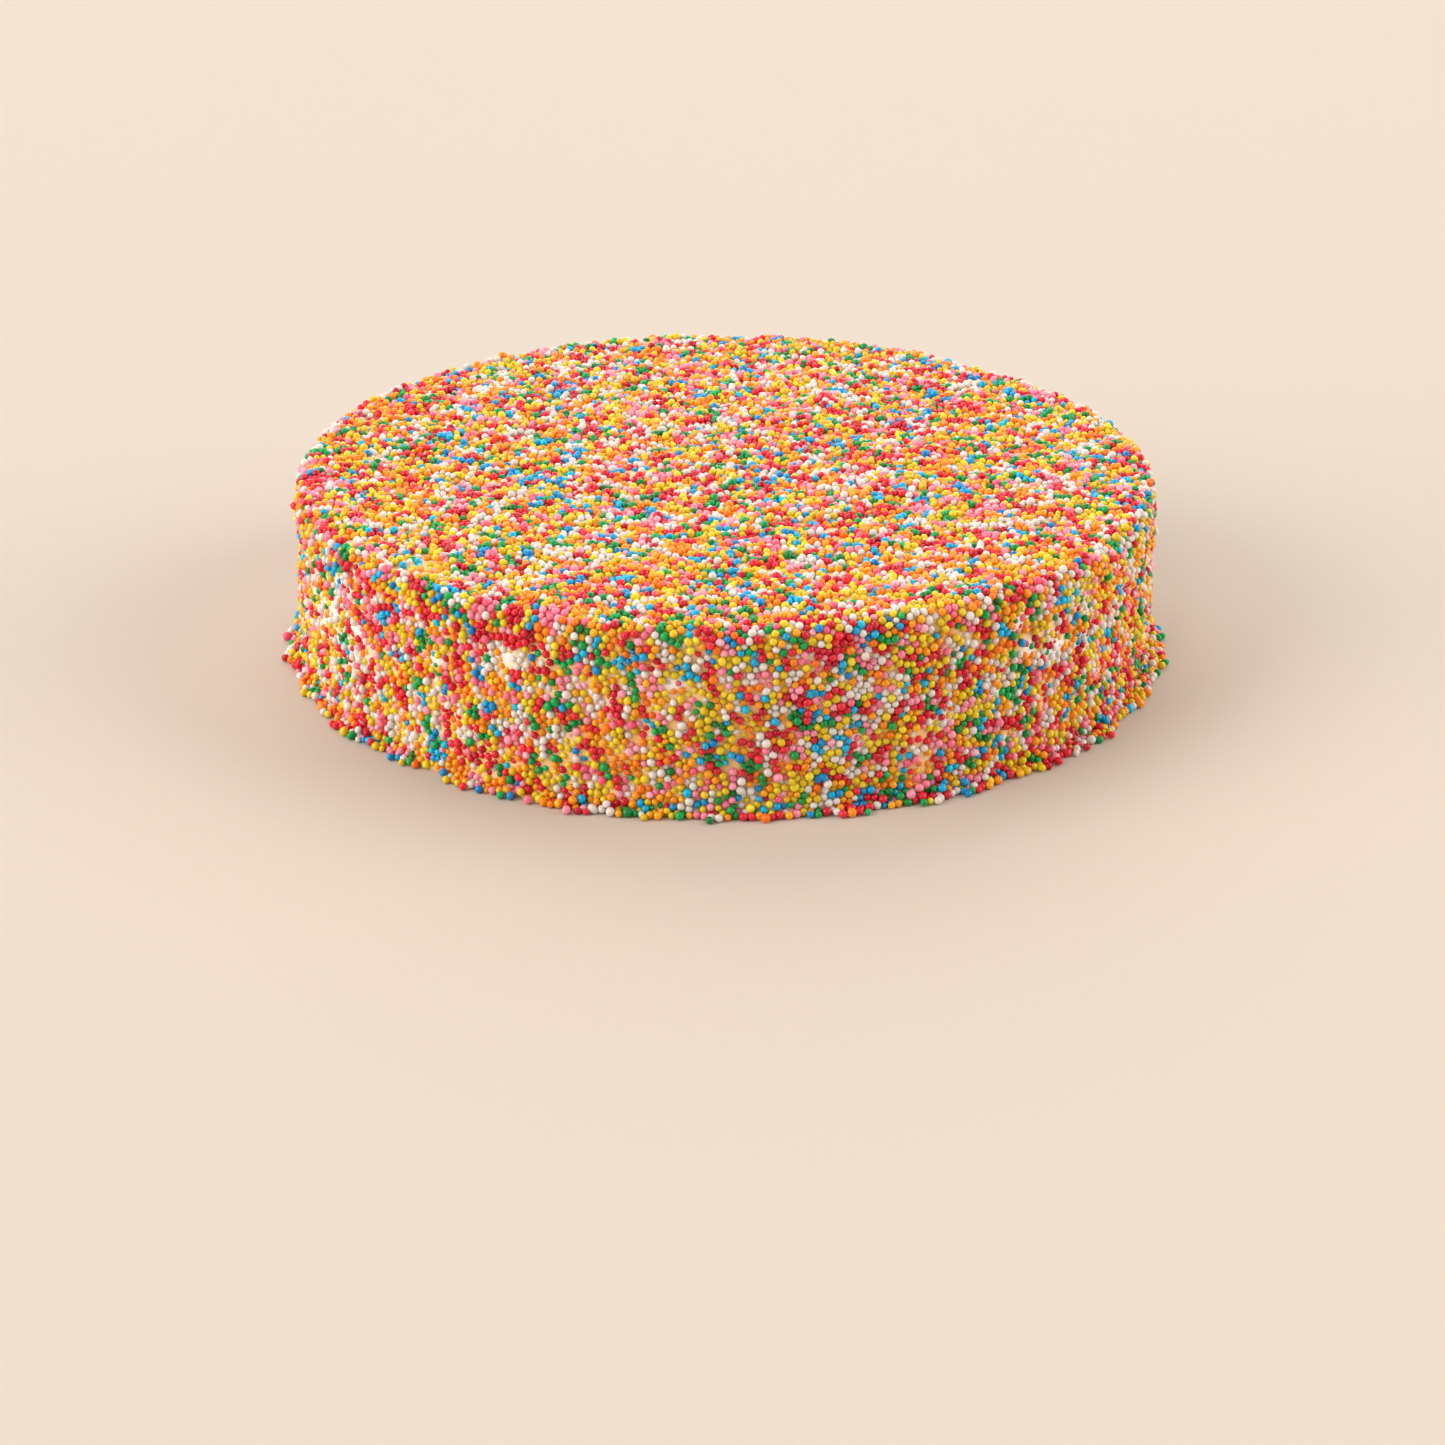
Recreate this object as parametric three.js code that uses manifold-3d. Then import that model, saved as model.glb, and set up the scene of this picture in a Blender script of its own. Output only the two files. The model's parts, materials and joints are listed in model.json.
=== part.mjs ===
// A low round celebration cake, iced all over and coated with small sugar beads.
// It is uncut, so it is one solid: an uneven iced drum with the largest beads fused to it.
// Millimetres, +Z up. The origin is the centre of the flat underside.

import * as THREE from 'three';
import * as BufferGeometryUtils from 'three/addons/utils/BufferGeometryUtils.js';
import Module from 'manifold-3d';

// Driving sizes of the coated cake, measured to the middle of its layer of beads
const SIDE_RADIUS = 99.0;
const HEIGHT = 42.7;
const EDGE_RADIUS = 3.4;

// Loose beads have gathered round the foot in a low heap against the side
const FOOT_SPREAD = 3.5;
const FOOT_HEIGHT = 8.0;
const FOOT_CURVE = 1.8;
const FOOT_TUCK = 0.4;
const FOOT_TUCK_HEIGHT = 0.8;

// Unevenness of the hand-spread icing and of the heap: each wave has its share of the depth,
// its count round the cake, its phase, and how far it shifts along the outline
const SIDE_WAVE = 0.35;
const SIDE_WAVES = [
  { share: 0.5, count: 3, phase: 0.7, shift: 1.1 },
  { share: 0.3, count: 7, phase: 2.1, shift: -2.0 },
  { share: 0.2, count: 11, phase: 4.0, shift: 3.0 },
];
const TOP_WAVE = 0.3;
const TOP_WAVES = [
  { share: 0.6, count: 2, phase: 1.3, shift: 2.0 },
  { share: 0.4, count: 5, phase: 3.9, shift: -3.0 },
];
const FOOT_WAVES = [
  { share: 0.05, count: 1, phase: 1.57, shift: 0 },
  { share: 0.12, count: 2, phase: 1.57, shift: 0 },
  { share: 0.14, count: 6, phase: 1.1, shift: 0 },
  { share: 0.08, count: 10, phase: 4.0, shift: 0 },
];

// Grid of the drum
const SECTORS = 60;
const SIDE_HEIGHTS = [0, FOOT_TUCK_HEIGHT, 2.0, 3.6, 5.6, FOOT_HEIGHT, 14, 22, 30.5];
const EDGE_STEPS = 4;
const TOP_RADII = [84, 62, 40, 19];

// The largest sugar beads, which are the ones modelled here
const BEAD_COUNT = 264;
const BEAD_DIAMETER_MIN = 1.85;
const BEAD_DIAMETER_MAX = 2.15;
const BEAD_SINK = 0.1;
const BEAD_JITTER = 2.5;
const FACET_ALLOWANCE = 1.08;
const SEED = 20417;

const CAKE_COLOUR = 0xf0c49a;
const CAKE_ROUGHNESS = 0.45;
const MERGE_DISTANCE = 1e-4;
const FULL_TURN = 2 * Math.PI;
const GOLDEN_ANGLE = Math.PI * (3 - Math.sqrt(5));

// Repeatable random numbers from 0 to 1, by the usual 32-bit linear congruence
function makeRandom(seed) {
  let state = seed >>> 0;
  return () => {
    state = (Math.imul(state, 1664525) + 1013904223) >>> 0;
    return state / 2 ** 32;
  };
}

// Sum of slow waves round the cake, shifted as along goes from 0 to 1
function waveSum(waves, azimuth, along) {
  return waves.reduce(
    (sum, wave) => sum + wave.share * Math.sin(wave.count * azimuth + wave.phase + wave.shift * along),
    0,
  );
}

// How far the top stands up or down: the waves fade out towards the middle
function topWave(azimuth, radius) {
  const reach = Math.min(radius / SIDE_RADIUS, 1);
  return TOP_WAVE * reach * waveSum(TOP_WAVES, azimuth, reach);
}

// How far the heaped beads stand out at a height: a hollow curve, tucked in at the very bottom
function footSpread(azimuth, z) {
  const rise = Math.max(0, 1 - z / FOOT_HEIGHT);
  const reach = FOOT_SPREAD * (1 + waveSum(FOOT_WAVES, azimuth, 0));
  const tuck = FOOT_TUCK * Math.max(0, 1 - z / FOOT_TUCK_HEIGHT);
  return reach * rise ** FOOT_CURVE - tuck;
}

// Point of the drum's surface where the smooth outline has this radius and height
function surfacePoint(azimuth, radius, z) {
  const sideWave = SIDE_WAVE * waveSum(SIDE_WAVES, azimuth, z / HEIGHT);
  const r = radius + (radius / SIDE_RADIUS) * (sideWave + footSpread(azimuth, z));
  const topness = THREE.MathUtils.smoothstep(z, HEIGHT - 2 * EDGE_RADIUS, HEIGHT);
  const lift = topness * topWave(azimuth, radius);
  return new THREE.Vector3(r * Math.cos(azimuth), r * Math.sin(azimuth), z + lift);
}

// Smooth outline from the foot, up the side, round the edge and in towards the middle of the top
function outline() {
  const points = SIDE_HEIGHTS.map((z) => new THREE.Vector2(SIDE_RADIUS, z));
  const edge = new THREE.Vector2(SIDE_RADIUS - EDGE_RADIUS, HEIGHT - EDGE_RADIUS);
  for (let step = 0; step <= EDGE_STEPS; step += 1) {
    const turn = (step / EDGE_STEPS) * Math.PI / 2;
    points.push(new THREE.Vector2(
      edge.x + EDGE_RADIUS * Math.cos(turn),
      edge.y + EDGE_RADIUS * Math.sin(turn),
    ));
  }
  TOP_RADII.forEach((radius) => points.push(new THREE.Vector2(radius, HEIGHT)));
  return points;
}

// Closed drum: rings of points joined by quads, with a fan at the underside and at the top
function drumGeometry() {
  const rings = outline();
  const positions = [0, 0, 0];
  rings.forEach((point) => {
    for (let sector = 0; sector < SECTORS; sector += 1) {
      const azimuth = (sector / SECTORS) * FULL_TURN;
      positions.push(...surfacePoint(azimuth, point.x, point.y).toArray());
    }
  });
  positions.push(...surfacePoint(0, 0, HEIGHT).toArray());

  const corner = (ring, sector) => 1 + ring * SECTORS + (sector % SECTORS);
  const lastRing = rings.length - 1;
  const topCentre = 1 + rings.length * SECTORS;
  const faces = [];
  for (let sector = 0; sector < SECTORS; sector += 1) {
    faces.push(0, corner(0, sector + 1), corner(0, sector));
    for (let ring = 0; ring < lastRing; ring += 1) {
      const a = corner(ring, sector);
      const b = corner(ring, sector + 1);
      const c = corner(ring + 1, sector + 1);
      const d = corner(ring + 1, sector);
      faces.push(a, b, c, a, c, d);
    }
    faces.push(corner(lastRing, sector), corner(lastRing, sector + 1), topCentre);
  }
  const geometry = new THREE.BufferGeometry();
  geometry.setAttribute('position', new THREE.Float32BufferAttribute(positions, 3));
  geometry.setIndex(faces);
  return geometry;
}

// The outline cut into steps of about a millimetre, each with the area that it sweeps round the cake
function outlineSteps() {
  const corners = outline();
  const steps = [];
  for (let index = 0; index < corners.length; index += 1) {
    const from = corners[index];
    const to = corners[index + 1] ?? new THREE.Vector2(0, HEIGHT);
    const count = Math.ceil(from.distanceTo(to));
    for (let part = 0; part < count; part += 1) {
      const start = from.clone().lerp(to, part / count);
      const end = from.clone().lerp(to, (part + 1) / count);
      steps.push({ start, end, area: Math.PI * (start.x + end.x) * start.distanceTo(end) });
    }
  }
  return steps;
}

// Places for the beads: equal areas along the outline, a golden angle apart, slightly jittered
function beadPlaces(random) {
  const steps = outlineSteps();
  const wholeArea = steps.reduce((sum, step) => sum + step.area, 0);
  const places = [];
  let index = 0;
  let passed = 0;
  for (let bead = 0; bead < BEAD_COUNT; bead += 1) {
    const target = ((bead + 0.5) / BEAD_COUNT) * wholeArea;
    while (passed + steps[index].area < target) {
      passed += steps[index].area;
      index += 1;
    }
    const step = steps[index];
    const spot = step.start.clone().lerp(step.end, (target - passed) / step.area);
    const swing = (random() - 0.5) * BEAD_JITTER / Math.max(spot.x, BEAD_JITTER);
    places.push({ azimuth: bead * GOLDEN_ANGLE + swing, radius: spot.x, z: spot.y });
  }
  return places;
}

// One bead: a faceted ball, turned at random and set half into the icing
function beadGeometry(place, random) {
  const diameter = THREE.MathUtils.lerp(BEAD_DIAMETER_MIN, BEAD_DIAMETER_MAX, random());
  const reach = (diameter / 2) * FACET_ALLOWANCE;
  const geometry = new THREE.IcosahedronGeometry(reach, 0);
  const turn = new THREE.Euler(random() * FULL_TURN, random() * FULL_TURN, random() * FULL_TURN);
  geometry.applyMatrix4(new THREE.Matrix4().makeRotationFromEuler(turn));
  const centre = surfacePoint(place.azimuth, place.radius, place.z);
  const onTop = place.z > HEIGHT - EDGE_RADIUS / 2;
  const inward = new THREE.Vector3(-Math.cos(place.azimuth), -Math.sin(place.azimuth), 0);
  centre.addScaledVector(onTop ? new THREE.Vector3(0, 0, -1) : inward, BEAD_SINK);
  centre.z = Math.max(centre.z, reach);
  geometry.translate(centre.x, centre.y, centre.z);
  return geometry;
}

// Closed geometry to solid, with shared corners merged
function toSolid(wasm, geometry) {
  const bare = geometry.clone();
  bare.deleteAttribute('normal');
  bare.deleteAttribute('uv');
  const merged = BufferGeometryUtils.mergeVertices(bare, MERGE_DISTANCE);
  return new wasm.Manifold(new wasm.Mesh({
    numProp: 3,
    vertProperties: new Float32Array(merged.attributes.position.array),
    triVerts: new Uint32Array(merged.index.array),
  }));
}

// Solid back to geometry
function toGeometry(solid) {
  const mesh = solid.getMesh();
  const geometry = new THREE.BufferGeometry();
  geometry.setAttribute('position', new THREE.BufferAttribute(mesh.vertProperties, 3));
  geometry.setIndex(new THREE.BufferAttribute(mesh.triVerts, 1));
  geometry.computeVertexNormals();
  return geometry;
}

function makeCake(wasm) {
  const random = makeRandom(SEED);
  let solid = toSolid(wasm, drumGeometry());
  beadPlaces(random).forEach((place) => {
    solid = solid.add(toSolid(wasm, beadGeometry(place, random)));
  });
  const material = new THREE.MeshStandardMaterial({
    color: CAKE_COLOUR,
    roughness: CAKE_ROUGHNESS,
    metalness: 0,
  });
  const cake = new THREE.Mesh(toGeometry(solid), material);
  cake.name = 'sprinkle_cake';
  return cake;
}

const wasm = await Module();
wasm.setup();

const group = new THREE.Group();
group.add(makeCake(wasm));

export default group;
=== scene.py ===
"""Looks of a low round cake, iced all over and coated with small sugar beads in mixed colours.

The icing and every bead are real meshes. The beads are scattered over the icing, pushed apart until they
lie against each other, and joined into one piece for each colour. Lengths here are in millimetres, and
MM turns them into Blender's metres.
"""

import itertools
import json
import math

import bpy
import numpy as np
from mathutils import Matrix, Vector

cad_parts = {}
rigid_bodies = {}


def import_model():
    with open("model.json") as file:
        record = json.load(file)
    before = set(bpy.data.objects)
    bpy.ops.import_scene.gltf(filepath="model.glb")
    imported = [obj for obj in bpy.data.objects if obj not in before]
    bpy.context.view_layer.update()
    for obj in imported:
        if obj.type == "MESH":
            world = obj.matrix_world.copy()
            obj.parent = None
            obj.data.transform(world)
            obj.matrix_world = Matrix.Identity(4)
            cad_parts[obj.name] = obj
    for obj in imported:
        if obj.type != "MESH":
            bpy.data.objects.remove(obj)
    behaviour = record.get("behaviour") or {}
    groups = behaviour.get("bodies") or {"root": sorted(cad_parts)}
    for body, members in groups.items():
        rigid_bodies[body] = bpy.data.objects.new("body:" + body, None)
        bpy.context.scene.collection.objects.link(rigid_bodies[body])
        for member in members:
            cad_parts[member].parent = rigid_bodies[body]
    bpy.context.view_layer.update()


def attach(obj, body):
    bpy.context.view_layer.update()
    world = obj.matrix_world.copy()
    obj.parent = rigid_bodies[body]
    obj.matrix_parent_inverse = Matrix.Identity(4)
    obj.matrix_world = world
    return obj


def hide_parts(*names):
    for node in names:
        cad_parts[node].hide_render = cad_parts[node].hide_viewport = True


for default_object in list(bpy.data.objects):
    bpy.data.objects.remove(default_object)

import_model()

MM = 0.001
NODE = "sprinkle_cake"
BODY = "root"

# Seeds of the places and shapes of the beads, and of which bead has which colour
SHAPE_SEED = 5113
COLOUR_SEED = 816

# Keeps a length from being nothing where it divides
TINY = 1e-9

# Driving sizes of the coated cake, measured to the middle of its layer of beads, as in the CAD source
SIDE_RADIUS = 99.0
HEIGHT = 42.7
EDGE_RADIUS = 3.4

# Outline from the foot up the side, round the edge and in to the middle of the top
SIDE_LENGTH = HEIGHT - EDGE_RADIUS
EDGE_LENGTH = EDGE_RADIUS * math.pi / 2
OUTLINE_LENGTH = SIDE_LENGTH + EDGE_LENGTH + SIDE_RADIUS - EDGE_RADIUS

# Unevenness of the hand-spread icing: share, waves round the cake, phase, and change over the outline
SIDE_WAVE = 0.35
SIDE_WAVES = ((0.5, 3, 0.7, 1.1), (0.3, 7, 2.1, -2.0), (0.2, 11, 4.0, 3.0))
TOP_WAVE = 0.3
TOP_WAVES = ((0.6, 2, 1.3, 2.0), (0.4, 5, 3.9, -3.0))

# Slight flare of the icing at the foot, under the beads that have gathered there
FLARE = 0.9
FLARE_HEIGHT = 6.0

# Sizes of the sugar beads, their own shape, and how many are grown together in pairs
BEAD_DIAMETER = 1.75
BEAD_SPREAD = 0.19
BEAD_SMALLEST = 1.2
BEAD_LARGEST = 2.15
STRETCH_SPREAD = 0.03
OVAL_SHARE = 0.10
OVAL_STRETCH = (1.12, 1.32)
OVAL_WAIST = 0.94
TWIN_SHARE = 0.03
TWIN_DISTANCE = 0.72

# How closely the beads cover the icing, and how far that changes from place to place
COVER_TOP = 0.90
COVER_SIDE = 0.89
PATCHINESS_TOP = 0.10
PATCHINESS_SIDE = 0.28

# Beads that have rolled down and lie in a low heap round the foot, and the few that lie just outside it
HEAP_COUNT = 720
HEAP_TRIES = 4
HEAP_REACH = 2.5
HEAP_HEIGHT = 3.4
HEAP_WAVES = (
    (0.10, 1, 1.57, 0.0),
    (0.12, 2, 1.57, 0.0),
    (0.14, 6, 1.1, 0.0),
    (0.16, 13, 2.9, 0.0),
    (0.14, 29, 0.5, 0.0),
)
STRAY_COUNT = 60
STRAY_GAP = (0.2, 0.9)

# Camera that sees the cake as the photograph does: pixels of the 1445 pixel frame, millimetres and degrees
FRAME_PIXELS = 1445.0
FOCAL_PIXELS = 3641.0
SENSOR = 36.0
CAMERA_PLACE = (0.46, -795.9, 333.6)
CAMERA_PITCH = 24.1
CAMERA_ROLL = 0.31
CAMERA_YAW = 0.05


def srgb(red, green, blue):
    """A colour from 0 to 255 as shown on a screen, as the linear colour that Blender wants."""
    shares = [channel / 255.0 for channel in (red, green, blue)]
    linear = [c / 12.92 if c <= 0.04045 else ((c + 0.055) / 1.055) ** 2.4 for c in shares]
    return (*linear, 1.0)


# Each kind of bead: its share of all beads, its darkest and lightest colours, and its material slot
KINDS = {
    "beads_white": (0.178, srgb(212, 202, 194), srgb(226, 218, 211), "bead_white"),
    "beads_pink": (0.115, srgb(240, 88, 122), srgb(254, 176, 190), "bead_pink"),
    "beads_red": (0.178, srgb(178, 0, 36), srgb(240, 42, 62), "bead_red"),
    "beads_amber": (0.200, srgb(241, 108, 0), srgb(255, 180, 30), "bead_amber"),
    "beads_yellow": (0.200, srgb(207, 170, 0), srgb(237, 212, 44), "bead_yellow"),
    "beads_green": (0.082, srgb(0, 114, 38), srgb(0, 178, 92), "bead_green"),
    "beads_blue": (0.066, srgb(0, 122, 194), srgb(0, 190, 226), "bead_blue"),
}

# How strongly each kind keeps to places of its own, how strongly white does so at bare spots, and how
# often a bead has the colour of a close neighbour, which lies within this many bead diameters
CLUSTERING = 0.70
WHITER_AT_BARE = 1.2
CLUMP_TOP = 0.17
CLUMP_SIDE = 0.21
CLUMP_REACH = 1.25


# Outline of the cake

def waves(parts, azimuth, along):
    """Sum of slow waves round the cake, each of which shifts as along goes from 0 to 1."""
    total = 0.0
    for share, count, phase, shift in parts:
        total = total + share * np.sin(count * azimuth + phase + shift * along)
    return total


def smoothstep(value, low, high):
    """0 below low, 1 above high, and a smooth rise between them."""
    share = np.clip((value - low) / (high - low), 0.0, 1.0)
    return share * share * (3.0 - 2.0 * share)


def by_place(z, on_side, on_top):
    """A value that changes smoothly over the edge of the cake, from the one on the side to that on top."""
    return on_side + (on_top - on_side) * smoothstep(z, HEIGHT - 2 * EDGE_RADIUS, HEIGHT - EDGE_RADIUS)


def side_wave(azimuth, z):
    """How far the side stands out or in."""
    return SIDE_WAVE * waves(SIDE_WAVES, azimuth, z / HEIGHT)


def top_wave(azimuth, radius, z):
    """How far the top stands up or down: fading out towards the middle and down the side."""
    reach = np.minimum(radius / SIDE_RADIUS, 1.0)
    topness = smoothstep(z, HEIGHT - 2 * EDGE_RADIUS, HEIGHT)
    return topness * TOP_WAVE * reach * waves(TOP_WAVES, azimuth, reach)


def flare(z):
    """How far the foot of the icing stands out."""
    return FLARE * np.clip(1.0 - z / FLARE_HEIGHT, 0.0, 1.0) ** 2


def flare_slope(z):
    """How the flare changes with height."""
    return -2.0 * FLARE / FLARE_HEIGHT * np.clip(1.0 - z / FLARE_HEIGHT, 0.0, 1.0)


def surface_point(azimuth, radius, z):
    """Point of the uneven surface where the smooth outline has this radius and height."""
    outward = radius / SIDE_RADIUS
    r = radius + outward * (side_wave(azimuth, z) + flare(z))
    return np.stack([r * np.cos(azimuth), r * np.sin(azimuth), z + top_wave(azimuth, radius, z)], axis=-1)


def outline_at(along):
    """Radius and height of the smooth outline at a length along it from the foot, up, round and in."""
    turn = np.clip((along - SIDE_LENGTH) / EDGE_RADIUS, 0.0, math.pi / 2)
    inward = np.clip(along - SIDE_LENGTH - EDGE_LENGTH, 0.0, None)
    radius = SIDE_RADIUS - EDGE_RADIUS + EDGE_RADIUS * np.cos(turn) - inward
    z = np.where(along < SIDE_LENGTH, along, SIDE_LENGTH + EDGE_RADIUS * np.sin(turn))
    return np.maximum(radius, 0.0), z


def above_surface(points):
    """How far each point stands above the surface, and which way is out there."""
    azimuth = np.arctan2(points[:, 1], points[:, 0])
    radius = np.hypot(points[:, 0], points[:, 1])
    z = points[:, 2]
    slope = flare_slope(z)
    steep = np.sqrt(1.0 + slope * slope)
    outward = radius - flare(z) - side_wave(azimuth, z) * radius / SIDE_RADIUS - (SIDE_RADIUS - EDGE_RADIUS)
    upward = z - top_wave(azimuth, radius, z) - SIDE_LENGTH
    from_edge = np.maximum(np.hypot(outward, upward), TINY)
    places = [(outward > 0) & (upward > 0), outward > upward]
    gap = np.select(places, [from_edge - EDGE_RADIUS, (outward - EDGE_RADIUS) / steep], upward - EDGE_RADIUS)
    level = np.select(places, [outward / from_edge, 1.0 / steep], 0.0)
    rise = np.select(places, [upward / from_edge, -slope / steep], 1.0)
    return gap, np.stack([level * np.cos(azimuth), level * np.sin(azimuth), rise], axis=-1)


# Uneven fields over the cake

# Waves that add up to a field, and about how many times its usual depth the sum reaches
FIELD_WAVES = 22
FIELD_PEAK = 1.6

# Shortest and longest waves of the fields: closer and thinner cover, smears of icing, lumps, and colours
PATCH_LENGTHS = (3.2, 8.0)
SMEAR_LENGTHS = (3.0, 9.0)
LUMP_LENGTHS = (8.0, 24.0)
CLUSTER_LENGTHS = (4.5, 11.0)

# How far the patches are drawn out upwards, and how high the lumps stand
PATCH_UPRIGHT = 0.55
LUMP_DEPTH = 0.42

# Places where the icing has taken few beads: azimuth in degrees, height, radius and share left out
BARE_SPOTS = (
    (-50.0, 36.0, 2.0, 0.60),
    (-48.0, 28.0, 1.9, 0.52),
    (-43.0, 25.0, 2.3, 0.60),
    (-54.0, 21.0, 1.9, 0.52),
    (-61.0, 17.0, 1.9, 0.60),
    (-73.0, 15.0, 1.6, 0.48),
    (-96.0, 30.0, 1.7, 0.40),
    (-103.0, 27.0, 1.6, 0.40),
    (-118.0, 32.0, 2.0, 0.52),
    (-129.0, 26.0, 2.0, 0.52),
    (-145.0, 26.0, 2.2, 0.60),
    (-152.0, 22.0, 1.9, 0.56),
    (38.0, 16.0, 2.3, 0.60),
    (74.0, 30.0, 2.0, 0.52),
    (112.0, 26.0, 2.2, 0.56),
    (150.0, 12.0, 1.9, 0.52),
    (171.0, 31.0, 2.2, 0.56),
    (-152.0, 24.0, 15.0, 0.20),
    (-32.0, 24.0, 15.0, 0.14),
    (58.0, 22.0, 15.0, 0.16),
    (132.0, 24.0, 15.0, 0.14),
)


def make_field(random, shortest, longest, upright=1.0):
    """A smooth random field of about -1 to 1 over space, with waves between these lengths.

    Below 1, upright draws its patches out upwards.
    """
    directions = random.normal(size=(FIELD_WAVES, 3)) * (1.0, 1.0, upright)
    directions /= np.linalg.norm(directions, axis=1, keepdims=True)
    lengths = random.uniform(shortest, longest, size=FIELD_WAVES)
    phases = random.uniform(0, 2 * math.pi, size=FIELD_WAVES)
    turns = directions * (2 * math.pi / lengths)[:, None]

    def field(points):
        total = np.sin(points @ turns.T + phases).sum(axis=-1)
        return total * math.sqrt(2.0 / FIELD_WAVES) / FIELD_PEAK

    return field


def bareness(points):
    """Share of the beads that is left out at each point, in the bare spots."""
    left_out = np.zeros(len(points))
    for azimuth, height, radius, share in BARE_SPOTS:
        turn = math.radians(azimuth)
        spot = np.array([SIDE_RADIUS * math.cos(turn), SIDE_RADIUS * math.sin(turn), height])
        far = ((points - spot) ** 2).sum(axis=-1) / radius**2
        left_out = np.maximum(left_out, share * np.exp(-far))
    return left_out


# Scattering the beads

# The coat is filled row by row, and more places are tried in it than are kept
ROW_STEP = 0.5
ROW_TRIES = 1.6

# The groups that the beads belong to
COAT, HEAP, STRAY = range(3)


def bead_radii(random, number):
    """Radii of the beads, which are of nearly the same size."""
    diameters = np.clip(random.normal(BEAD_DIAMETER, BEAD_SPREAD, number), BEAD_SMALLEST, BEAD_LARGEST)
    return diameters / 2


def scatter_coat(random, patches):
    """First places for the beads pressed into the icing: more of them where the cover is closer."""
    disc = math.pi / 4 * (BEAD_DIAMETER**2 + BEAD_SPREAD**2)
    starts = np.arange(0.0, OUTLINE_LENGTH, ROW_STEP)
    radius, z = outline_at(starts + ROW_STEP / 2)
    row_area = 2 * math.pi * radius * ROW_STEP
    wanted = by_place(z, COVER_SIDE, COVER_TOP) * row_area / disc
    patchiness = by_place(z, PATCHINESS_SIDE, PATCHINESS_TOP)
    places = []
    for start, number, depth in zip(starts, wanted, patchiness):
        count = int(number * ROW_TRIES + random.random())
        along = start + ROW_STEP * random.random(count)
        azimuth = random.uniform(-math.pi, math.pi, count)
        spots = surface_point(azimuth, *outline_at(along))
        chance = (1.0 + depth * patches(spots)) * (1.0 - bareness(spots)) / ROW_TRIES
        places.append(spots[random.random(count) < chance])
    return np.concatenate(places)


def heap_reach(azimuth):
    """How far the heap of beads reaches out from the side, at its foot."""
    return HEAP_REACH * (1.0 + waves(HEAP_WAVES, azimuth, 0.0))


def scatter_heap(random):
    """First places for the beads of the heap: thick against the side, and thin at its edge."""
    azimuth = random.uniform(-math.pi, math.pi, HEAP_TRIES * HEAP_COUNT)
    reach = heap_reach(azimuth)
    kept = random.random(len(azimuth)) < (reach / reach.max()) ** 2
    azimuth, reach = azimuth[kept][:HEAP_COUNT], reach[kept][:HEAP_COUNT]
    share = 1.0 - np.sqrt(random.random(len(azimuth)))
    z = BEAD_DIAMETER / 2 + HEAP_HEIGHT * (1.0 - share) * random.random(len(azimuth))
    radius = SIDE_RADIUS + FLARE + BEAD_DIAMETER / 2 + reach * share
    return np.stack([radius * np.cos(azimuth), radius * np.sin(azimuth), z], axis=-1)


def scatter_strays(random):
    """First places for the single beads that lie at the very edge of the heap."""
    azimuth = random.uniform(-math.pi, math.pi, STRAY_COUNT)
    radius = SIDE_RADIUS + heap_reach(azimuth) + random.uniform(*STRAY_GAP, STRAY_COUNT)
    z = np.full(STRAY_COUNT, BEAD_DIAMETER / 2)
    return np.stack([radius * np.cos(azimuth), radius * np.sin(azimuth), z], axis=-1)


def scatter(random, patches):
    """First places for all the beads, their radii, and the group that each belongs to."""
    groups = [scatter_coat(random, patches), scatter_heap(random), scatter_strays(random)]
    centres = np.concatenate(groups)
    group = np.repeat((COAT, HEAP, STRAY), [len(places) for places in groups])
    return centres, bead_radii(random, len(centres)), group


# Settling the beads

# How many steps it takes, how often the neighbours are looked up and how far off they may be
SETTLE_STEPS = 130
PAIRS_EVERY = 6
PAIR_REACH = 3.4

# How far a crowded bead gives way, and how far a bead is drawn to the icing or falls, at each step
PUSH_SHARE = 0.55
PULL = 0.09
HEAP_PULL = 0.04
FALL = 0.05

# How high the middle of a bead rests above the surface, and how close a loose one comes to it
REST_LOWEST = -0.85
REST_HIGHEST = 0.18
REST_LIMIT = 0.30
LOOSE_CLOSEST = 0.1


def close_pairs(points, reach):
    """Every pair of points closer together than reach, found through a grid of cells of that size."""
    cells = np.floor((points - points.min(axis=0)) / reach).astype(np.int64) + 1
    size = cells.max(axis=0) + 2
    key = (cells[:, 0] * size[1] + cells[:, 1]) * size[2] + cells[:, 2]
    order = np.argsort(key, kind="stable")
    ranked = key[order]
    number = np.arange(len(points))
    firsts, seconds = [], []
    here = (0, 0, 0)
    steps = [step for step in itertools.product((-1, 0, 1), repeat=3) if step >= here]
    for step in steps:
        wanted = key + (step[0] * size[1] + step[1]) * size[2] + step[2]
        start = np.searchsorted(ranked, wanted, side="left")
        end = np.searchsorted(ranked, wanted, side="right")
        for turn in range(int((end - start).max(initial=0))):
            found = start + turn < end
            i = number[found]
            j = order[start[found] + turn]
            keep = (i < j) if step == here else np.ones(len(i), bool)
            i, j = i[keep], j[keep]
            near = ((points[i] - points[j]) ** 2).sum(axis=1) < reach * reach
            firsts.append(i[near])
            seconds.append(j[near])
    return np.concatenate(firsts), np.concatenate(seconds)


def choose_twins(random, centres):
    """Pairs of neighbours that are grown together."""
    first, second = close_pairs(centres, BEAD_LARGEST)
    taken = np.zeros(len(centres), bool)
    twins = []
    for index in random.permutation(len(first)):
        i, j = first[index], second[index]
        if not (taken[i] or taken[j]):
            taken[i] = taken[j] = True
            twins.append((min(i, j), max(i, j)))
        if len(twins) >= len(centres) * TWIN_SHARE / 2:
            break
    return np.array(twins)


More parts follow.
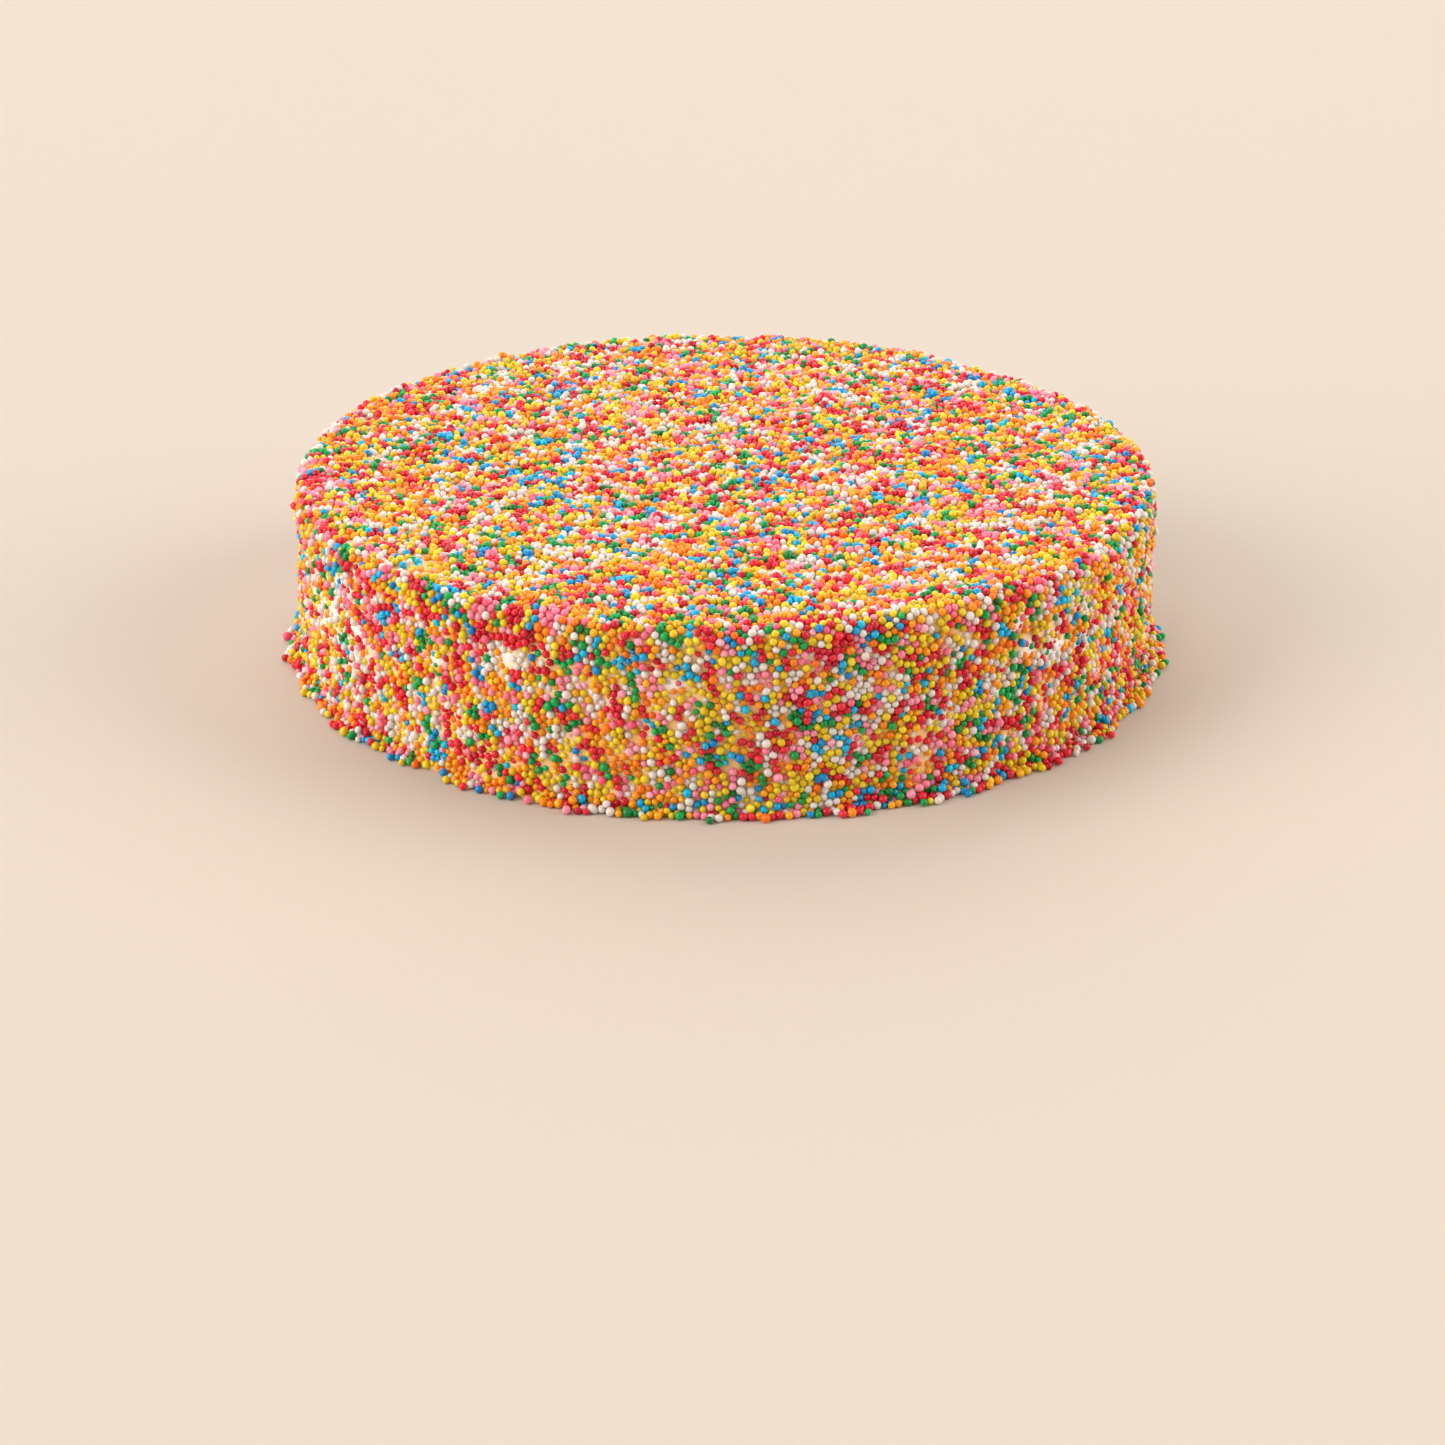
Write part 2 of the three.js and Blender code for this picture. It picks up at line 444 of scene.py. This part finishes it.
def settle(random, centres, radii, group, lumps):
    """Pushes the beads apart and draws them to the icing, until they lie against each other.

    The beads of the coat are drawn to their own depth in the icing. The loose ones fall to the floor, and
    those of the heap lean on the side. Returns the centres, and the pairs that are grown together.
    """
    number = len(centres)
    rest = random.uniform(REST_LOWEST, REST_HIGHEST, number) + LUMP_DEPTH * lumps(centres)
    rest = np.minimum(rest, REST_LIMIT)
    coat = group == COAT
    twins = choose_twins(random, centres)
    twin_keys = twins[:, 0] * number + twins[:, 1]
    for turn in range(SETTLE_STEPS):
        if turn % PAIRS_EVERY == 0:
            first, second = close_pairs(centres, PAIR_REACH)
            touch = radii[first] + radii[second]
            key = np.minimum(first, second) * number + np.maximum(first, second)
            grown = np.isin(key, twin_keys)
            touch = np.where(grown, touch * TWIN_DISTANCE, touch)
        apart = centres[second] - centres[first]
        distance = np.maximum(np.linalg.norm(apart, axis=1), TINY)
        overlap = np.where(grown, touch - distance, np.maximum(touch - distance, 0.0))
        push = apart * (0.5 * overlap / distance)[:, None]
        pressed = (overlap > 0).astype(float)
        load = np.bincount(first, pressed, number) + np.bincount(second, pressed, number)
        share = 1.0 / np.maximum(load * PUSH_SHARE, 1.0)
        for axis in range(3):
            moved = np.bincount(second, push[:, axis], number) - np.bincount(first, push[:, axis], number)
            centres[:, axis] += moved * share
        gap, normal = above_surface(centres)
        excess = gap - np.where(coat, rest, LOOSE_CLOSEST)
        draw = np.where(coat, PULL, np.where(group == HEAP, HEAP_PULL, 0.0))
        centres -= normal * np.minimum(excess, draw)[:, None]
        centres[~coat, 2] -= FALL
        centres[:, 2] = np.maximum(centres[:, 2], radii)
    return centres, twins


# Shape of one bead

# Corners of each ring from pole to pole: larger beads, from this radius, have more of them
FINE_RINGS = (1, 6, 8, 6, 1)
PLAIN_RINGS = (1, 5, 6, 5, 1)
FINE_FROM = 0.78

# Part of its cell that the flat map of a bead reaches out from the middle
MAP_REACH = 0.47

# Makes up for the facets, unevenness of the ball, and height of its lowest corners above the floor
FACET_ALLOWANCE = 1.035
ROUGH_SHAPE = 0.018
LOWEST_CORNER = 0.02

# How far the tone differs from bead to bead, between the darkest and the lightest colour
TONE_SPREAD = 0.28


def map_point(reach, turn):
    """Place in a bead's cell of the flat map: reach goes from 0 at the near pole to 1 at the far one."""
    return (0.5 + MAP_REACH * reach * math.cos(turn), 0.5 + MAP_REACH * reach * math.sin(turn))


def bead_template(rings):
    """Corners, triangles and a flat map of a faceted ball of radius 1 with these rings of corners.

    The map is the ball seen along its axis: distance from the middle is the angle from the near pole. Each
    triangle at the far pole has a corner of its own there.
    """
    polar = np.linspace(0, math.pi, len(rings))
    corners, flat, ring_start = [], [], []
    for index, (angle, count) in enumerate(zip(polar, rings)):
        ring_start.append(len(corners))
        for part in range(count):
            turn = 2 * math.pi * (part + 0.5 * (index % 2)) / count
            out = math.sin(angle)
            corners.append((out * math.cos(turn), out * math.sin(turn), math.cos(angle)))
            flat.append((angle / math.pi, turn))
    triangles, maps = [], []
    for index in range(len(rings) - 1):
        upper, lower = rings[index], rings[index + 1]
        i = j = 0
        while (upper > 1 and i < upper) or (lower > 1 and j < lower):
            upper_turn = (i + 0.5 + 0.5 * (index % 2)) / upper
            lower_turn = (j + 0.5 + 0.5 * ((index + 1) % 2)) / lower
            above = ring_start[index] + i % upper
            below = ring_start[index + 1] + j % lower
            from_upper = upper > 1 and i < upper and (lower == 1 or j >= lower or upper_turn <= lower_turn)
            if from_upper:
                i += 1
                beside = ring_start[index] + i % upper
            else:
                j += 1
                beside = ring_start[index + 1] + j % lower
            below_flat = (1.0, flat[above][1] + math.pi / upper) if lower == 1 else flat[below]
            triangles.append((above, below, beside))
            maps.append([map_point(*flat[above]), map_point(*below_flat), map_point(*flat[beside])])
    return np.array(corners), np.array(triangles), np.array(maps)


def random_rotations(random, number):
    """Random rotations, one for each bead."""
    q = random.normal(size=(number, 4))
    q /= np.linalg.norm(q, axis=1, keepdims=True)
    w, x, y, z = q.T
    rows = [
        [1 - 2 * (y * y + z * z), 2 * (x * y - z * w), 2 * (x * z + y * w)],
        [2 * (x * y + z * w), 1 - 2 * (x * x + z * z), 2 * (y * z - x * w)],
        [2 * (x * z - y * w), 2 * (y * z + x * w), 1 - 2 * (x * x + y * y)],
    ]
    return np.moveaxis(np.array(rows), 2, 0)


def bead_stretches(random, number):
    """How far each bead is stretched along its own axes: most are nearly round, and some are oval."""
    stretches = 1.0 + random.normal(0, STRETCH_SPREAD, (number, 3))
    oval = random.random(number) < OVAL_SHARE
    stretches[oval, 0] *= random.uniform(*OVAL_STRETCH, oval.sum())
    stretches[oval, 1:] *= OVAL_WAIST
    return stretches


def ball_corners(random, ball, stretches, rotations, radii, centres):
    """Corners of one ball for each bead: stretched, roughened, turned, sized and put in its place."""
    shape = ball[None] * stretches[:, None, :]
    shape = shape * (1.0 + random.normal(0, ROUGH_SHAPE, (len(centres), len(ball), 1)))
    shape = np.einsum("nij,nkj->nki", rotations, shape)
    shape = shape * (radii * FACET_ALLOWANCE)[:, None, None] + centres[:, None, :]
    shape[..., 2] = np.maximum(shape[..., 2], LOWEST_CORNER)
    return shape.reshape(-1, 3)


def build_beads(name, random, centres, radii, material):
    """All the beads of one colour as one mesh, with a tone and a cell of the flat map for each bead."""
    number = len(centres)
    cells_across = math.ceil(math.sqrt(number))
    tones = np.clip(random.normal(0.5, TONE_SPREAD, number), 0.0, 1.0)
    rotations = random_rotations(random, number)
    stretches = bead_stretches(random, number)
    fine = radii >= FINE_FROM
    corners, triangles, maps, corner_tones = [], [], [], []
    made = 0
    for rings, chosen in ((FINE_RINGS, fine), (PLAIN_RINGS, ~fine)):
        ball, faces, flat = bead_template(rings)
        own = np.nonzero(chosen)[0]
        corners.append(ball_corners(random, ball, stretches[own], rotations[own], radii[own], centres[own]))
        starts = made + np.arange(len(own)) * len(ball)
        triangles.append((faces[None] + starts[:, None, None]).reshape(-1, 3))
        cells = np.stack([own % cells_across, own // cells_across], axis=1)
        maps.append(((flat[None] + cells[:, None, None, :]) / cells_across).reshape(-1, 2))
        corner_tones.append(np.repeat(tones[own], len(ball)))
        made += len(own) * len(ball)
    piece = mesh_piece(name, np.concatenate(corners) * MM, np.concatenate(triangles))
    layer = piece.data.uv_layers.new(name="OFBake")
    layer.data.foreach_set("uv", np.concatenate(maps).astype(np.float32).ravel())
    add_values(piece, "tone", np.concatenate(corner_tones))
    finish_piece(piece, material)


def mesh_piece(name, corners, triangles):
    """A smooth-shaded mesh object made of triangles."""
    mesh = bpy.data.meshes.new(name)
    mesh.vertices.add(len(corners))
    mesh.vertices.foreach_set("co", corners.astype(np.float32).ravel())
    mesh.loops.add(triangles.size)
    mesh.loops.foreach_set("vertex_index", triangles.astype(np.int32).ravel())
    mesh.polygons.add(len(triangles))
    mesh.polygons.foreach_set("loop_start", np.arange(0, triangles.size, 3, dtype=np.int32))
    mesh.polygons.foreach_set("use_smooth", np.ones(len(triangles), bool))
    mesh.update(calc_edges=True)
    mesh.validate()
    piece = bpy.data.objects.new(name, mesh)
    bpy.context.scene.collection.objects.link(piece)
    return piece


def add_values(piece, name, values):
    """Stores one number for each corner of a mesh, for its material to read."""
    layer = piece.data.attributes.new(name, "FLOAT", "POINT")
    layer.data.foreach_set("value", values.astype(np.float32))


def finish_piece(piece, material):
    """Gives a piece its material and ties it to the CAD model."""
    piece.data.materials.append(material)
    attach(piece, BODY)
    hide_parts(NODE)


# Icing

# Grid of the icing: corners round the cake, step between rings up the side and edge, and rings on the top
ICING_SECTORS = 420
ICING_SIDE_STEP = 1.5
ICING_TOP_RINGS = 9

# How far the icing lies below the middle of the layer of beads, how far it would rise where no beads lie,
# the most that it rises, and how deep its smears are
ICING_DEPTH_TOP = 0.74
ICING_DEPTH_SIDE = 0.46
ICING_SWELL = 1.3
ICING_SWELL_MOST = 0.40
ICING_ROUGH = 0.16

# How soon the tan between close beads, partly dye and partly painted shade, fades out towards a bare spot
DYE_AND_SHADE_FADE = 8.0


def icing_grid(smears, lumps, rows):
    """Corners of the icing, in rings at these lengths along the outline, and how bare each place is."""
    azimuths = np.arange(ICING_SECTORS) * 2 * math.pi / ICING_SECTORS
    along, azimuth = np.meshgrid(rows, azimuths, indexing="ij")
    radius, z = outline_at(along)
    surface = surface_point(azimuth, radius, z).reshape(-1, 3)
    normal = above_surface(surface)[1]
    bare = bareness(surface)
    swell = np.minimum(ICING_SWELL * bare, ICING_SWELL_MOST)
    swell = swell + ICING_ROUGH * smears(surface) + LUMP_DEPTH * lumps(surface)
    depth = by_place(z.ravel(), ICING_DEPTH_SIDE, ICING_DEPTH_TOP) - swell
    grid = surface - normal * depth[:, None]
    grid[:, 2] = np.maximum(grid[:, 2], 0.0)
    grid[:ICING_SECTORS, 2] = 0.0
    return grid, bare


def build_icing(smears, lumps, material):
    """The uneven coat of icing, from its flat underside up the side and over the top, as one closed mesh."""
    edge_end = SIDE_LENGTH + EDGE_LENGTH
    side_rows = np.arange(0.0, edge_end, ICING_SIDE_STEP)
    top_rows = np.linspace(edge_end, OUTLINE_LENGTH, ICING_TOP_RINGS, endpoint=False)
    rows = np.concatenate([side_rows, top_rows])
    grid, bare = icing_grid(smears, lumps, rows)
    middles = np.array([(0.0, 0.0, 0.0), (0.0, 0.0, HEIGHT - ICING_DEPTH_TOP)])
    first = np.arange(ICING_SECTORS)
    after = (first + 1) % ICING_SECTORS
    faces = []
    for low in range(0, len(grid) - ICING_SECTORS, ICING_SECTORS):
        high = low + ICING_SECTORS
        faces.append(np.stack([low + first, low + after, high + after], axis=1))
        faces.append(np.stack([low + first, high + after, high + first], axis=1))
    last = len(grid) - ICING_SECTORS
    foot_middle = np.full(ICING_SECTORS, len(grid))
    top_middle = foot_middle + 1
    faces.append(np.stack([foot_middle, after, first], axis=1))
    faces.append(np.stack([last + first, last + after, top_middle], axis=1))
    piece = mesh_piece("icing", np.concatenate([grid, middles]) * MM, np.concatenate(faces))
    # Share of cream: the tan of dye and painted shade between the beads fades out towards bare spots
    add_values(piece, "bare", 1.0 - np.exp(-DYE_AND_SHADE_FADE * np.append(bare, (0.0, 0.0))))
    finish_piece(piece, material)


# Materials

# Icing where beads lie close, tan from dye and painted shade between them; icing at bare spots; the floor
ICING_DYE_AND_SHADE = (srgb(248, 190, 122), srgb(254, 216, 162))
ICING_CREAM = srgb(255, 248, 238)
FLOOR_TONES = (srgb(202, 188, 173), srgb(204, 190, 175))

# Fineness of the noise, in waves over a metre
SPECKLE_SCALE = 1400.0
SMEAR_SCALE = 160.0
CLOUD_SCALE = 2.0

# Part that the speckle of the sugar shell has in the tone of a bead
SPECKLE_SHARE = 0.1


def new_material(name):
    """An empty node material with a Principled shader: the material, its node tree and the shader."""
    material = bpy.data.materials.new(name)
    material.use_nodes = True
    tree = material.node_tree
    return material, tree, tree.nodes["Principled BSDF"]


def add_noise(tree, scale, detail):
    """Noise over the object's own space."""
    place = tree.nodes.new("ShaderNodeTexCoord")
    noise = tree.nodes.new("ShaderNodeTexNoise")
    noise.inputs["Scale"].default_value = scale
    noise.inputs["Detail"].default_value = detail
    tree.links.new(place.outputs["Object"], noise.inputs["Vector"])
    return noise.outputs["Fac"]


def add_attribute(tree, name):
    """The number stored under this name at each corner of the mesh."""
    attribute = tree.nodes.new("ShaderNodeAttribute")
    attribute.attribute_name = name
    return attribute.outputs["Fac"]


def add_ramp(tree, value, colours, low=0.0, high=1.0):
    """A colour that runs between these two as the value goes from low to high."""
    ramp = tree.nodes.new("ShaderNodeValToRGB")
    ends = ramp.color_ramp.elements
    ends[0].position, ends[1].position = low, high
    ends[0].color, ends[1].color = colours
    tree.links.new(value, ramp.inputs["Fac"])
    return ramp.outputs["Color"]


def add_bump(tree, shader, height, strength, distance):
    """A fine relief, as deep as this distance in millimetres."""
    bump = tree.nodes.new("ShaderNodeBump")
    bump.inputs["Strength"].default_value = strength
    bump.inputs["Distance"].default_value = distance * MM
    tree.links.new(height, bump.inputs["Height"])
    tree.links.new(bump.outputs["Normal"], shader.inputs["Normal"])


def set_softness(shader, weight, reach, radius):
    """How much of the light spreads under the surface, how far in millimetres, and so for each colour."""
    shader.inputs["Subsurface Weight"].default_value = weight
    shader.inputs["Subsurface Scale"].default_value = reach * MM
    shader.inputs["Subsurface Radius"].default_value = radius


def bead_material(name, darkest, lightest):
    """Hard sugar shell: even colour that differs a little from bead to bead, and a fine uneven gloss."""
    material, tree, shader = new_material(name)
    speckle = add_noise(tree, SPECKLE_SCALE, detail=2.0)
    blend = tree.nodes.new("ShaderNodeMix")
    blend.inputs["Factor"].default_value = SPECKLE_SHARE
    tree.links.new(add_attribute(tree, "tone"), blend.inputs["A"])
    tree.links.new(speckle, blend.inputs["B"])
    colour = add_ramp(tree, blend.outputs["Result"], (darkest, lightest))
    tree.links.new(colour, shader.inputs["Base Color"])
    add_bump(tree, shader, speckle, strength=0.12, distance=0.06)
    shader.inputs["Roughness"].default_value = 0.25
    shader.inputs["Specular IOR Level"].default_value = 0.40
    set_softness(shader, weight=0.9, reach=1.4, radius=(1.0, 0.8, 0.65))
    return material


def icing_material():
    """Soft cream icing, slightly moist, tan where beads lie close: partly their dye, partly painted shade.
    """
    material, tree, shader = new_material("icing")
    smear = add_noise(tree, SMEAR_SCALE, detail=4.0)
    cream = tree.nodes.new("ShaderNodeMix")
    cream.data_type = "RGBA"
    cream.inputs["B"].default_value = ICING_CREAM
    tree.links.new(add_attribute(tree, "bare"), cream.inputs["Factor"])
    # The tan where beads lie close is partly dye and partly painted shade and bounce light between them
    tree.links.new(add_ramp(tree, smear, ICING_DYE_AND_SHADE, low=0.35, high=0.7), cream.inputs["A"])
    tree.links.new(cream.outputs["Result"], shader.inputs["Base Color"])
    add_bump(tree, shader, smear, strength=0.5, distance=0.3)
    shader.inputs["Roughness"].default_value = 0.45
    set_softness(shader, weight=0.3, reach=2.0, radius=(1.0, 0.8, 0.6))
    return material


def floor_material():
    """Plain pale studio floor with a barely uneven tint."""
    material, tree, shader = new_material("studio_floor")
    cloud = add_noise(tree, CLOUD_SCALE, detail=2.0)
    tree.links.new(add_ramp(tree, cloud, FLOOR_TONES), shader.inputs["Base Color"])
    shader.inputs["Roughness"].default_value = 0.8
    shader.inputs["Specular IOR Level"].default_value = 0.2
    return material


# Studio

# Half the width of the floor, in metres
FLOOR_REACH = 6.0

# Far softboxes: name, where the light comes from, width in degrees and strength
LIGHTS = (
    ("key", (-0.36, 0.05, 1.0), 60.0, 0.42),
    ("window", (-1.0, -0.37, 0.5), 50.0, 2.5),
    ("front", (-0.35, -0.8, 0.9), 6.0, 0.12),
    ("fill", (1.0, 0.0, 0.45), 50.0, 2.05),
    ("back", (-0.1, 0.9, 0.5), 70.0, 1.95),
)
LIGHT_COLOUR = (1.0, 0.995, 0.985)

# Even light from all round
SKY_COLOUR = srgb(250, 246, 242)
SKY_STRENGTH = 0.42


def add_floor():
    """The floor that the cake stands on."""
    corners = FLOOR_REACH * np.array([(-1, -1, 0), (1, -1, 0), (1, 1, 0), (-1, 1, 0)])
    floor = mesh_piece("studio_floor", corners, np.array([(0, 1, 2), (0, 2, 3)]))
    floor.data.materials.append(floor_material())


def add_light(name, come_from, width, strength):
    """A far softbox: light from one side of the sky, as wide as this angle in degrees."""
    data = bpy.data.lights.new(name, "SUN")
    data.angle = math.radians(width)
    data.energy = strength
    data.color = LIGHT_COLOUR
    light = bpy.data.objects.new(name, data)
    light.rotation_mode = "QUATERNION"
    light.rotation_quaternion = (-Vector(come_from)).to_track_quat("-Z", "Y")
    bpy.context.scene.collection.objects.link(light)


def add_studio():
    """Floor, lights and an even pale sky."""
    add_floor()
    for light in LIGHTS:
        add_light(*light)
    world = bpy.data.worlds.new("studio")
    world.use_nodes = True
    background = world.node_tree.nodes["Background"]
    background.inputs["Color"].default_value = SKY_COLOUR
    background.inputs["Strength"].default_value = SKY_STRENGTH
    bpy.context.scene.world = world
    bpy.context.scene.view_settings.view_transform = "Standard"


def add_camera():
    """The camera of the photograph."""
    data = bpy.data.cameras.new("camera")
    data.sensor_width = SENSOR
    data.lens = FOCAL_PIXELS / FRAME_PIXELS * SENSOR
    camera = bpy.data.objects.new("camera", data)
    turn = (
        Matrix.Rotation(math.radians(CAMERA_YAW), 4, "Z")
        @ Matrix.Rotation(math.radians(90.0 - CAMERA_PITCH), 4, "X")
        @ Matrix.Rotation(math.radians(CAMERA_ROLL), 4, "Z")
    )
    camera.matrix_world = Matrix.Translation(Vector(CAMERA_PLACE) * MM) @ turn
    bpy.context.scene.collection.objects.link(camera)
    bpy.context.scene.camera = camera


# The whole cake

def choose_kinds(random, centres, twins):
    """Which kind each bead is: by its share, loosely in clusters, with many beads like a neighbour."""
    chances = []
    for name, (share, *_) in KINDS.items():
        lean = CLUSTERING * make_field(random, *CLUSTER_LENGTHS)(centres)
        if name == "beads_white":
            lean = lean + WHITER_AT_BARE * bareness(centres)
        chances.append(share * np.exp(lean))
    passed = np.cumsum(np.stack(chances) / np.sum(chances, axis=0), axis=0)
    kinds = (random.random(len(centres)) > passed[:-1]).sum(axis=0)
    first, second = close_pairs(centres, CLUMP_REACH * BEAD_DIAMETER)
    like = random.random(len(first)) < by_place(centres[first, 2], CLUMP_SIDE, CLUMP_TOP)
    kinds[second[like]] = kinds[first[like]]
    kinds[twins[:, 1]] = kinds[twins[:, 0]]
    return kinds


def build_cake():
    """The icing, and then the beads of each kind, scattered over it and settled."""
    random = np.random.default_rng(SHAPE_SEED)
    patches = make_field(random, *PATCH_LENGTHS, PATCH_UPRIGHT)
    smears = make_field(random, *SMEAR_LENGTHS)
    lumps = make_field(random, *LUMP_LENGTHS)
    centres, radii, group = scatter(random, patches)
    centres, twins = settle(random, centres, radii, group, lumps)
    kinds = choose_kinds(np.random.default_rng(COLOUR_SEED), centres, twins)
    build_icing(smears, lumps, icing_material())
    for index, (name, (_, darkest, lightest, slot_name)) in enumerate(KINDS.items()):
        own = kinds == index
        material = bead_material(name, darkest, lightest)
        build_beads(name, random, centres[own], radii[own], material)


build_cake()
add_studio()
add_camera()
